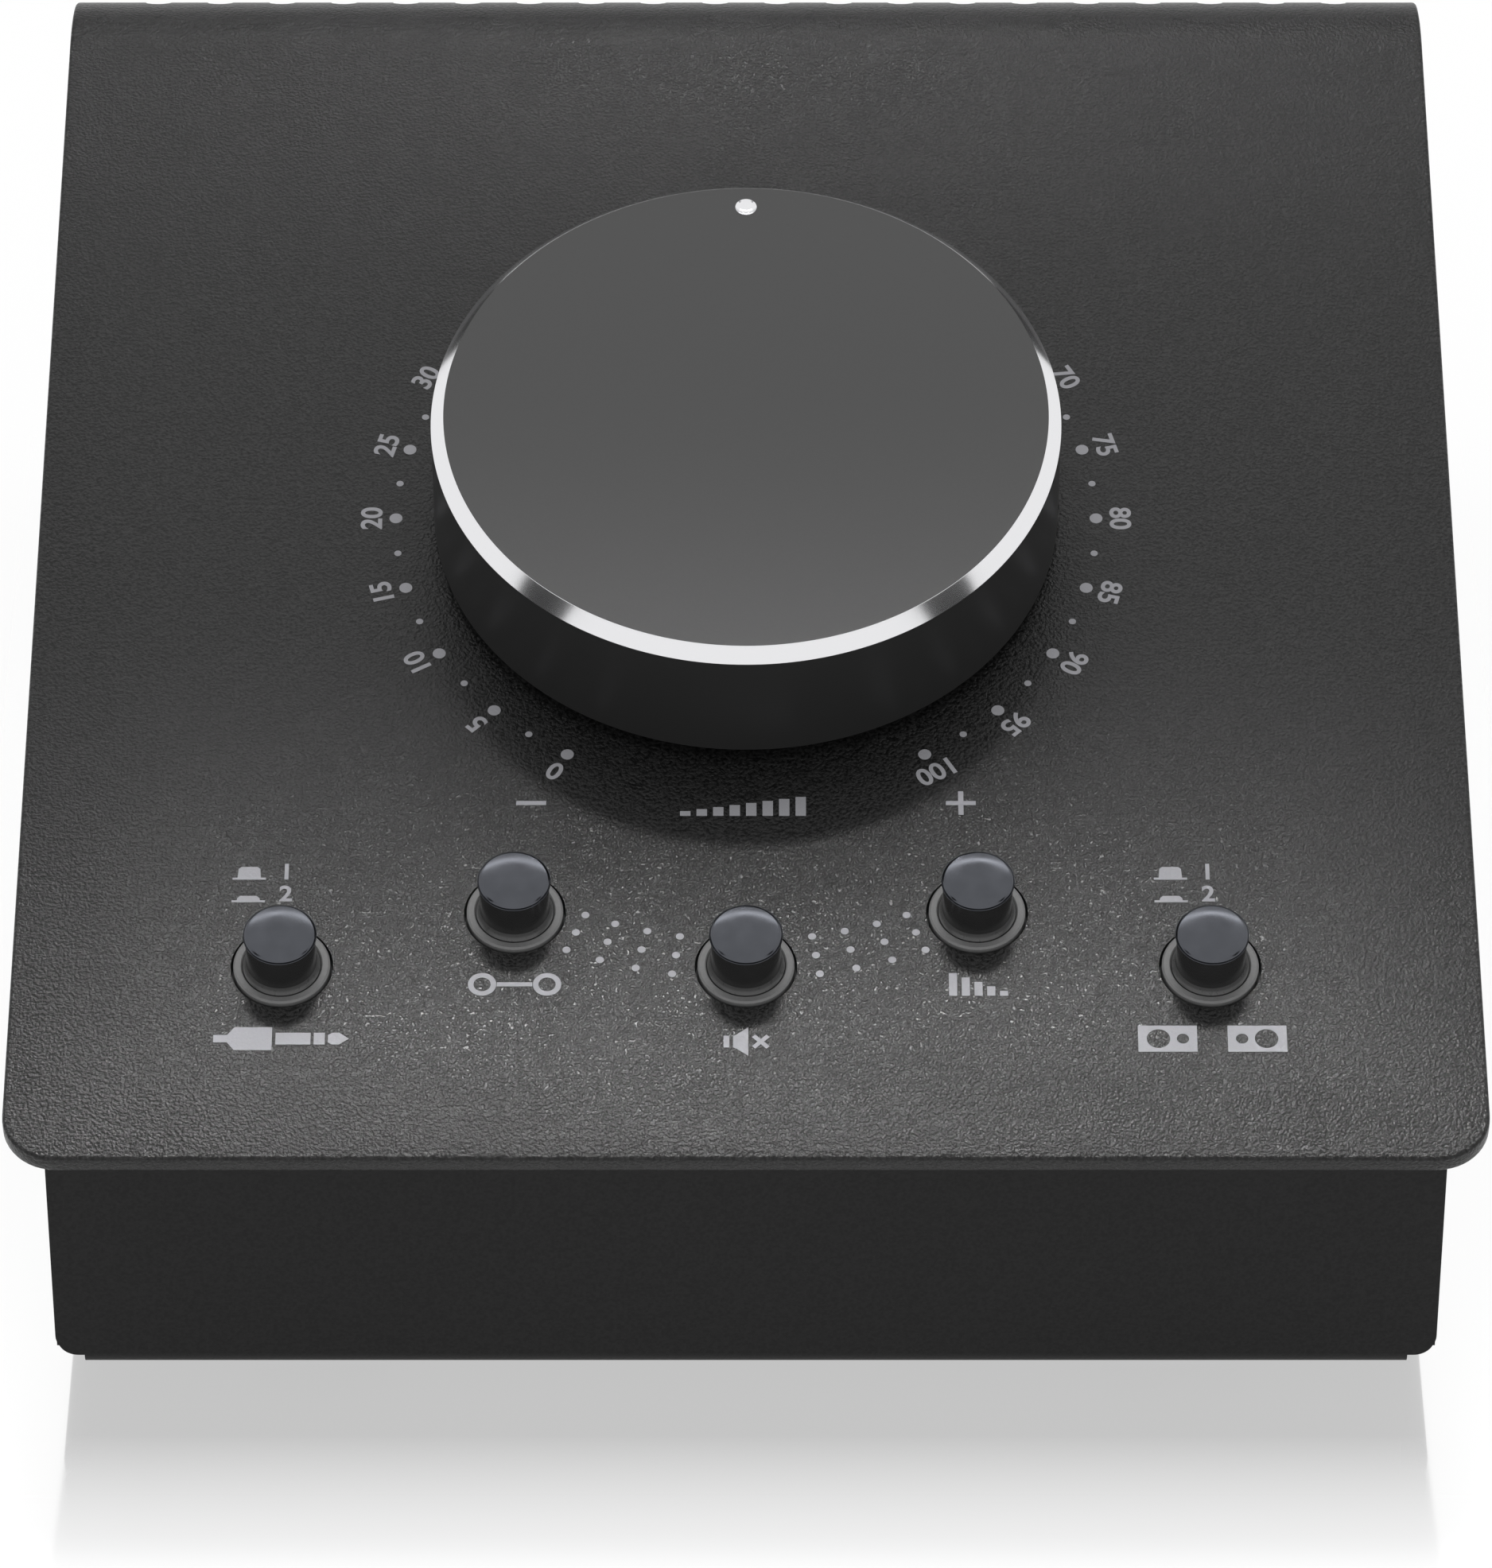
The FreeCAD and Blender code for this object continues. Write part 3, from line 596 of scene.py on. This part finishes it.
# Knob: a turned aluminium cap, black on its side, with a polished bevel and a blasted
# grey face. A ball-nosed cutter left the dimple that points at the dial.
def turn_piece(name, outline, sides, bored=False):
    """Turns an outline of (radius, height) pairs, in millimetres, round the Z axis. Discs
    close its first and last points, or, if it is bored, a wall joins them."""
    start_new()
    radius, height = outline[0]
    bpy.ops.mesh.primitive_circle_add(vertices=sides, radius=radius * mm,
                                      fill_type="NOTHING" if bored else "NGON",
                                      location=(0, 0, height * mm))
    piece = bpy.context.object
    piece.name = name
    bpy.ops.object.transform_apply(location=True, rotation=True, scale=True)
    bpy.ops.object.mode_set(mode="EDIT")
    bpy.ops.mesh.select_all(action="SELECT")
    for next_radius, next_height in outline[1:] + (outline[:1] if bored else []):
        rise = (next_height - height) * mm
        bpy.ops.mesh.extrude_region_move(TRANSFORM_OT_translate={"value": (0, 0, rise)})
        share = next_radius / radius
        bpy.ops.transform.resize(value=(share, share, 1),
                                 center_override=(0, 0, next_height * mm))
        radius, height = next_radius, next_height
    bpy.ops.mesh.select_all(action="SELECT")
    if bored:
        bpy.ops.mesh.remove_doubles(threshold=0.001 * mm)
    bpy.ops.mesh.normals_make_consistent(inside=False)
    bpy.ops.object.mode_set(mode="OBJECT")
    return smooth(piece)


def rounded(centre, radius, start, end, steps):
    """Points on an arc, from one angle to another in degrees."""
    angles = [math.radians(start + (end - start) * i / steps) for i in range(steps + 1)]
    return [(centre[0] + radius * math.cos(a), centre[1] + radius * math.sin(a))
            for a in angles]


knob_radius = 31.95
knob_top = 16.6
knob_foot = 1.5
knob_bevel = 1.3
knob_wall = 2.0
knob_ceiling = 14.1
dimple_ball = 1.57
dimple_depth = 0.45
dimple_place = 28.05
knob = turn_piece("volume_knob", [
    (knob_radius - knob_wall, knob_ceiling),
    (knob_radius - knob_wall, knob_foot),
    (knob_radius - 0.3, knob_foot),
    (knob_radius, knob_foot + 0.3),
    (knob_radius, knob_top - knob_bevel - 0.06),
    (knob_radius - 0.06, knob_top - knob_bevel),
    (knob_radius - knob_bevel + 0.06, knob_top - 0.04),
    (knob_radius - knob_bevel, knob_top),
], 256)
bpy.ops.mesh.primitive_uv_sphere_add(
    segments=48, ring_count=24, radius=dimple_ball * mm,
    location=(0, dimple_place * mm, (knob_top - dimple_depth + dimple_ball) * mm))
cut_away(knob, bpy.context.object)

knob_side = Finish("knob_black_side", Base_Color=grey(0.022), Roughness=0.34)
knob_side.relief(knob_side.node("ShaderNodeTexNoise", {}, {
    "Vector": knob_side.node("ShaderNodeMapping", {}, {
        "Vector": knob_side.place(), "Scale": (1, 1, 40)}),
    "Scale": 200, "Detail": 3.0}), 0.01 * mm)
knob_bright = Finish("knob_polished_bevel", Base_Color=(0.8, 0.8, 0.815), Metallic=1.0)
knob_bright.feed(knob_bright.shader.inputs["Roughness"], 0.1 + knob_bright.noise(4 * mm) * 0.06)
knob_face = Finish("knob_blasted_face", Specular_IOR_Level=0.3)
blast = knob_face.noise(0.22 * mm, 2.0)
knob_face.feed(knob_face.shader.inputs["Base Color"],
               knob_face.blend(blast, grey(0.043), grey(0.051)))
knob_face.feed(knob_face.shader.inputs["Roughness"], 0.5 + blast * 0.08)
knob_face.relief(blast, 0.004 * mm)
for finish in (knob_side, knob_bright, knob_face):
    knob.data.materials.append(finish.material)
for face in knob.data.polygons:
    middle = face.center / mm
    if middle.z > knob_top - 0.02 and abs(face.normal.z) > 0.99:
        face.material_index = 2
    elif middle.z > knob_top - knob_bevel - 0.1 and middle.xy.length > knob_radius - 3.5:
        face.material_index = 1
    elif middle.z > knob_ceiling + 0.1 and middle.xy.length < knob_radius - 2:
        face.material_index = 1
put_on_panel(knob)
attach(knob, "volume_knob")
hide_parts("knob_cap")

dress("knob_core", stock("knob_plastic", grey(0.02), 0.5, 0.8, 0.01))


# Buttons: five latching push buttons. Each has a plated metal cap with a groove round its
# head, and stands in a moulded grey ring that the cover's hole leaves clear all round.
head_radius = 3.62
neck_radius = 3.45
neck_top = 4.85
head_top = 5.85
edge_radius = 0.55
crown = 0.27
cap_sides = 96
crown_points = [((head_radius - edge_radius) * math.cos(math.radians(a)),
                 head_top - crown + crown * math.sin(math.radians(a)))
                for a in (30, 60, 80)]
cap_outline = [
    (1.6, 0.9),
    (1.6, -0.5),
    (3.85, -0.5),
    (3.85, 0.35),
    (3.7, 0.48),
    (3.58, 0.72),
    (3.5, 1.05),
    (neck_radius, 1.5),
    (neck_radius, neck_top - 0.1),
    (head_radius - 0.05, neck_top),
    *rounded((head_radius - 0.07, neck_top + 0.12), 0.07, -60, 60, 4),
    (head_radius - 0.16, neck_top + 0.22),
    (head_radius - 0.16, neck_top + 0.34),
    (head_radius, neck_top + 0.4),
    *rounded((head_radius - edge_radius, head_top - crown - edge_radius), edge_radius,
             8, 84, 8),
    *crown_points,
]
cap = turn_piece("source_cap", cap_outline, cap_sides)

plating = stock("button_plating", (0.085, 0.089, 0.1), 0.2, 2.0, 0.0003, 1.0)
neck_black = stock("button_neck", grey(0.02), 0.22, 1.5, 0.004)
ring_plastic = stock("ring_plastic", grey(0.15), 0.38, 0.4, 0.006)
# Painted reflection: the cap's flared foot is a lighter grey than its neck. This stands in for the
# grey ring mirrored in the flare and for the light that the flare catches from above.
skirt_painted_reflection = stock("button_skirt_painted_reflection", grey(0.06), 0.3, 0.6, 0.003)
cap.data.materials.append(plating.material)
cap.data.materials.append(neck_black.material)
cap.data.materials.append(skirt_painted_reflection.material)
# Faces of the flared foot, below this height, take the painted reflection.
skirt_top = 1.1
for face in cap.data.polygons:
    if face.center.z < skirt_top * mm:
        face.material_index = 2
    elif face.center.z < (neck_top - 0.06) * mm:
        face.material_index = 1

guide_outline = [
    (3.92, -3.1),
    (6.2, -3.1),
    (6.2, -2.12),
    (4.78, -2.12),
    (4.78, 0.22),
    (4.6, 0.4),
    (4.05, 0.4),
    (3.92, 0.25),
]
guide = turn_piece("source_ring", guide_outline, cap_sides, bored=True)
guide.data.materials.append(ring_plastic.material)


caps = {"source": cap}
guides = {"source": guide}
for name in list(buttons)[1:]:
    caps[name] = copy_of(cap, name + "_cap")
    guides[name] = copy_of(guide, name + "_ring")
for name, (u, v) in buttons.items():
    put_on_panel(caps[name], u, v)
    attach(caps[name], name + "_key")
    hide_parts(name + "_button")
    put_on_panel(guides[name], u, v)
    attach(guides[name], "housing")
    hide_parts(name + "_guide_ring")

# The front beam skips the caps and rings, which it would burn out. No real lamp can.
beam_skips = bpy.data.collections.new("beam_skips")
for piece in (*caps.values(), *guides.values()):
    beam_skips.objects.link(piece)
for entry in beam_skips.collection_objects:
    entry.light_linking.link_state = "EXCLUDE"
front_beam.light_linking.receiver_collection = beam_skips

stem_plastic = stock("stem_plastic", (0.62, 0.61, 0.57), 0.45, 0.9, 0.005)
switch_can = stock("switch_can", grey(0.02), 0.45, 0.6, 0.008)
for name in buttons:
    dress(name + "_plunger", stem_plastic)
    dress(name + "_switch", switch_can)


# Potentiometer: a rotary control behind the panel, held by its threaded bushing with a
# nut and washer. Its steel shaft turns the knob.
dress("pot_shaft", stock("shaft_metal", grey(0.55), 0.3, 0.4, 0.002, 1.0))
dress("pot_bushing", stock("cast_metal", grey(0.5), 0.45, 0.7, 0.004, 1.0))
dress("pot_body", stock("pot_can", (0.03, 0.045, 0.09), 0.4, 0.8, 0.006))
nickel = stock("nut_plating", (0.6, 0.59, 0.57), 0.22, 0.6, 0.002, 1.0)
dress("pot_washer", nickel)
dress("pot_nut", nickel)


# Boards: two glass-fibre circuit boards with green mask. The ribbon cable runs between
# their moulded headers.
mask = Finish("board_laminate", Base_Color=(0.01, 0.09, 0.03))
weave = mask.noise(0.7 * mm, 1.0)
mask.feed(mask.shader.inputs["Base Color"],
          mask.blend((weave * 1.6 - 0.3).clamped(), (0.008, 0.07, 0.024), (0.014, 0.11, 0.04)))
mask.feed(mask.shader.inputs["Roughness"], 0.28 + weave * 0.12)
mask.relief(weave, 0.006 * mm)
header_black = stock("header_plastic", grey(0.018), 0.5, 0.5, 0.006)
for board in ("control_board", "jack_board"):
    dress(board, mask)
    dress(board + "_header", header_black)
ribbon = Finish("ribbon_vinyl")
wire_pitch = 1.27 * mm
across_wire = (ribbon.axes()[0] / wire_pitch).maths("FRACT")
groove = (across_wire - 0.5).maths("ABSOLUTE")
# Painted shade: the vinyl is darker in the valleys between the wires, where the relief dips, and
# lighter on the wires' crests.
ribbon.feed(ribbon.shader.inputs["Base Color"],
            ribbon.blend(groove * 2.0, (0.42, 0.42, 0.43), (0.28, 0.28, 0.29)))
ribbon.feed(ribbon.shader.inputs["Roughness"], 0.4 + ribbon.noise(2 * mm) * 0.1)
ribbon.relief(1.0 - groove * groove * 4.0, 0.25 * mm)
dress("ribbon_cable", ribbon)


# Jacks: eight moulded 6.35 mm sockets stand on the rear board. Each comes out through
# the cover's rear fold, where a nickel-plated hexagon nut holds its threaded bushing.
jack_width = 13.5
jack_length = 27.0
bushing_radius = 4.5
bushing_reach = 3.7
bore_radius = 3.3
bore_depth = 31.0
thread_pitch = 0.75
thread_depth = 0.22
nut_flats = 12.0
nut_height = 2.2
jack_low, jack_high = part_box("jack_input_a_left")
mouth_y = jack_high.y / mm
shoulder = mouth_y - jack_low.y / mm - jack_length
to_the_back = Matrix.Rotation(-math.pi / 2, 4, "X")
start_new()
bpy.ops.mesh.primitive_cube_add(size=1, location=(0, 0, -(shoulder + jack_length / 2) * mm))
socket = bpy.context.object
socket.scale = (jack_width * mm, jack_width * mm, jack_length * mm)
bpy.ops.object.transform_apply(location=True, rotation=True, scale=True)
jack_edge = 0.5
finish_with(socket, "BEVEL", width=jack_edge * mm, segments=3, limit_method="ANGLE")
cut_away(socket, rod(bore_radius, 2 * bore_depth, 96))
thread = []
turns = int((bushing_reach - 0.5) / thread_pitch)
for i in range(turns):
    foot = -bushing_reach + thread_pitch * i
    thread += [(bushing_radius, foot + 0.1), (bushing_radius, foot + 0.3),
               (bushing_radius - thread_depth, foot + 0.48),
               (bushing_radius - thread_depth, foot + 0.62)]
barrel = turn_piece("jack_barrel", [
    (bore_radius, -shoulder),
    (bushing_radius, -shoulder),
    *thread,
    (bushing_radius, -0.55),
    (bushing_radius, -0.3),
    (bushing_radius - 0.3, 0.0),
    (bore_radius + 0.55, 0.0),
    (bore_radius + 0.1, -0.4),
    (bore_radius, -0.7),
], 96, bored=True)
jack = smooth(joined([socket, barrel], "jack_socket"))
jack.data.materials.clear()
jack.data.materials.append(stock("jack_plastic", grey(0.012), 0.3, 0.7, 0.004).material)
nut_chamfer = 0.25
thread_slack = 0.05
nut = hexagon(nut_flats, nut_height, nut_chamfer)
cut_away(nut, rod(bushing_radius + thread_slack, 4 * nut_height, 96))
nut.data.materials.clear()
nut.data.materials.append(nickel.material)
smooth(nut)
socket_names = ["%s_%s_%s" % (way, pair, side) for way in ("input", "output")
                for pair in ("a", "b") for side in ("left", "right")]
for name, (x, z, radius) in zip(socket_names, rear_holes):
    made = copy_of(jack, "socket_" + name)
    made.data.transform(Matrix.Translation(Vector((x, mouth_y, z)) * mm) @ to_the_back)
    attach(made, "housing")
    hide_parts("jack_" + name)
    made = copy_of(nut, "nut_" + name)
    made.data.transform(Matrix.Translation(Vector((x, bend_end_y, z)) * mm) @ to_the_back)
    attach(made, "housing")
    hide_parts("jack_nuts")
for spare in (jack, nut):
    bpy.data.objects.remove(spare)


# Print: one colour of grey ink, screened on the coat. It has the dial's dots and numbers,
# a pattern of small dots, and a sign beside each control.
ink_height = 0.02
ink = Finish("panel_ink", Base_Color=(0.25, 0.25, 0.265), Specular_IOR_Level=0.2)
ink_wrinkle = ink.noise(coat_grain, 3.0, 0.55)
ink.feed(ink.shader.inputs["Roughness"], 0.5 + ink_wrinkle * 0.15)
ink.relief(ink_wrinkle, 0.03 * mm)


def circle_points(u, v, radius, count=40):
    return [(u + radius * math.cos(2 * math.pi * i / count),
             v + radius * math.sin(2 * math.pi * i / count)) for i in range(count)]


def bar_points(left, low, right, high):
    return [(left, low), (right, low), (right, high), (left, high)]


def bent_points(points, u, v, turn=0.0):
    """Points turned about the origin and moved to a place."""
    c, s = math.cos(turn), math.sin(turn)
    return [(u + c * x - s * y, v + s * x + c * y) for x, y in points]


def cross_points(u, v, arm, half, turn=0.0):
    """A plus sign, or turned an eighth a multiplication sign."""
    quarter = [(half, half), (half, arm), (-half, arm)]
    points = [point for i in range(4)
              for point in bent_points(quarter, 0, 0, math.pi / 2 * i)]
    return bent_points(points, u, v, turn)


def print_shapes(name, outlines, turn=panel_turn):
    """Closed outlines in millimetres, on the panel. One inside another is a hole."""
    start_new()
    flat = bpy.data.curves.new(name, "CURVE")
    flat.dimensions = "2D"
    flat.fill_mode = "BOTH"
    flat.extrude = ink_height * mm
    for points in outlines:
        spline = flat.splines.new("POLY")
        spline.points.add(len(points) - 1)
        for point, (u, v) in zip(spline.points, points):
            point.co = (u * mm, v * mm, 0, 1)
        spline.use_cyclic_u = True
    piece = bpy.data.objects.new(name, flat)
    bpy.context.scene.collection.objects.link(piece)
    piece.select_set(True)
    bpy.context.view_layer.objects.active = piece
    bpy.ops.object.convert(target="MESH")
    return finish_print(bpy.context.object, turn)


text_scale = 1.42
text_weight = 0.035


def lettering(text, u, v, height, turn=0.0):
    """Upright letters centred on a place, before they are put on their surface."""
    start_new()
    bpy.ops.object.text_add()
    letters = bpy.context.object
    letters.data.body = text
    letters.data.align_x = "CENTER"
    letters.data.align_y = "CENTER"
    letters.data.size = height * mm * text_scale
    letters.data.extrude = ink_height * mm
    letters.data.offset = text_weight * height * mm
    bpy.ops.object.convert(target="MESH")
    letters = bpy.context.object
    letters.data.transform(Matrix.Translation((u * mm, v * mm, 0))
                           @ Matrix.Rotation(turn, 4, "Z"))
    return letters


def finish_print(piece, turn=panel_turn):
    piece.data.materials.clear()
    piece.data.materials.append(ink.material)
    piece.data.transform(turn)
    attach(piece, "housing")
    return piece


dial_dot_radius = 35.93
dial_step = 15.0
dial_start = -150.0
dots = []
for i in range(41):
    angle = math.radians(dial_start + i * dial_step / 2)
    size = 0.66 if i % 2 == 0 else 0.37
    dots.append(circle_points(dial_dot_radius * math.sin(angle),
                              dial_dot_radius * math.cos(angle), size))
print_shapes("dial_dots", dots)

number_radius = 38.3
number_height = 2.1
numbers = []
for i in range(21):
    angle = math.radians(dial_start + i * dial_step)
    numbers.append(lettering(str(5 * i), number_radius * math.sin(angle),
                             number_radius * math.cos(angle), number_height, -angle))
finish_print(joined(numbers, "dial_numbers"))

pattern_centre_v = -13.5
pattern = []
for radius in (41.25, 43.61, 45.97):
    for angle in (9.12, 13.7, 18.3, 22.7):
        for side in (-1, 1):
            turned_by = math.radians(side * angle)
            pattern.append(circle_points(radius * math.sin(turned_by),
                                         pattern_centre_v - radius * math.cos(turned_by),
                                         0.4))
print_shapes("dot_pattern", pattern)

marks = [bar_points(-6.6 + 1.65 * i, -39.0, -5.55 + 1.65 * i, -38.4 + 0.26 * i)
         for i in range(8)]
print_shapes("volume_sign", marks)
print_shapes("less_sign", [bar_points(-23.0, -37.62, -20.0, -37.1)])
print_shapes("more_sign", [cross_points(21.5, -37.36, 1.5, 0.26)])


def button_sign(u, v, height):
    """A button seen from the side, above its plate."""
    return [(u - 1.66, v), (u + 1.66, v), (u + 1.66, v + 0.25), (u + 1.16, v + 0.25),
            (u + 1.08, v + height - 0.25), (u + 0.8, v + height), (u - 0.8, v + height),
            (u - 1.08, v + height - 0.25), (u - 1.16, v + 0.25), (u - 1.66, v + 0.25)]


for name in ("source", "monitor"):
    u = buttons[name][0]
    print_shapes(name + "_positions", [button_sign(u - 3.6, -47.1, 1.6),
                                       button_sign(u - 3.6, -49.95, 0.8)])
    finish_print(joined([lettering("1", u + 0.1, -46.2, 1.9), lettering("2", u + 0.1, -48.97, 1.9)],
                        name + "_position_numbers"))

source_sign = [
    [(-6.65, -0.45), (-5.3, -0.45), (-4.6, -1.4), (-0.9, -1.4), (-0.9, 1.4), (-4.6, 1.4),
     (-5.3, 0.45), (-6.65, 0.45)],
    bar_points(-0.55, -0.72, 2.9, 0.72),
    bar_points(3.2, -0.72, 4.3, 0.72),
    [(4.6, -0.45), (5.0, -0.72), (5.7, -0.72), (6.65, 0.0), (5.7, 0.72), (5.0, 0.72),
     (4.6, 0.45)],
]
print_shapes("source_sign", [bent_points(points, -45.6, -66.9) for points in source_sign])
monitor_sign = []
for side in (-1, 1):
    monitor_sign += [bar_points(side * 4.4 - 2.9, -1.6, side * 4.4 + 2.9, 1.6),
                     circle_points(side * 5.3, 0, 1.15), circle_points(side * 2.9, 0, 0.6)]
print_shapes("monitor_sign", [bent_points(points, 45.75, -66.9) for points in monitor_sign])
mono_sign = [bar_points(-1.75, -0.25, 1.75, 0.25)]
for side in (-1, 1):
    mono_sign += [circle_points(side * 3.2, 0, 1.4), circle_points(side * 3.2, 0, 0.85)]
print_shapes("mono_sign", [bent_points(points, -22.8, -60.2) for points in mono_sign])
dim_sign = [bar_points(-2.9 + 1.25 * i, -1.4, -2.1 + 1.25 * i, 1.4 - 0.55 * i)
            for i in range(5)]
print_shapes("dim_sign", [bent_points(points, 22.9, -60.2) for points in dim_sign])
mute_sign = [
    bar_points(-2.2, -0.72, -1.63, 0.72),
    [(-1.27, -0.7), (-0.95, -0.85), (0.23, -1.75), (0.23, 1.75), (-0.95, 0.85),
     (-1.27, 0.7)],
    cross_points(1.45, 0, 1.0, 0.22, math.pi / 4),
]
print_shapes("mute_sign", [bent_points(points, 0, -67.26) for points in mute_sign])

rear_turn = (Matrix.Translation(Vector((0, bend_end_y, 0)) * mm)
             @ Matrix.Rotation(math.pi, 4, "Z") @ Matrix.Rotation(math.pi / 2, 4, "X"))
rear_letter_z = 39.2
rear_line_z = 42.4
rear_number_z = 46.4
letters = []
lines = []
for i in range(jack_count):
    across = ((jack_count - 1) / 2 - i) * jack_pitch
    letters.append(lettering("L" if i % 2 == 0 else "R", across, rear_letter_z, 2.2))
    if i % 2 == 0:
        middle = across - jack_pitch / 2
        lines.append(bar_points(middle - 10.5, rear_line_z - 0.15, middle + 10.5,
                                rear_line_z + 0.15))
        letters.append(lettering("1" if i in (0, 4) else "2", middle + 1.8, rear_number_z, 2.8))
        arrow = [(-0.35, 1.6), (0.35, 1.6), (0.35, -0.1), (1.1, -0.1), (0.0, -1.6),
                 (-1.1, -0.1), (-0.35, -0.1)]
        half_turn = 0.0 if i < 4 else math.pi
        lines.append(bent_points(arrow, middle - 1.8, rear_number_z, half_turn))
finish_print(joined(letters, "rear_letters"), rear_turn)
print_shapes("rear_lines", lines, rear_turn)
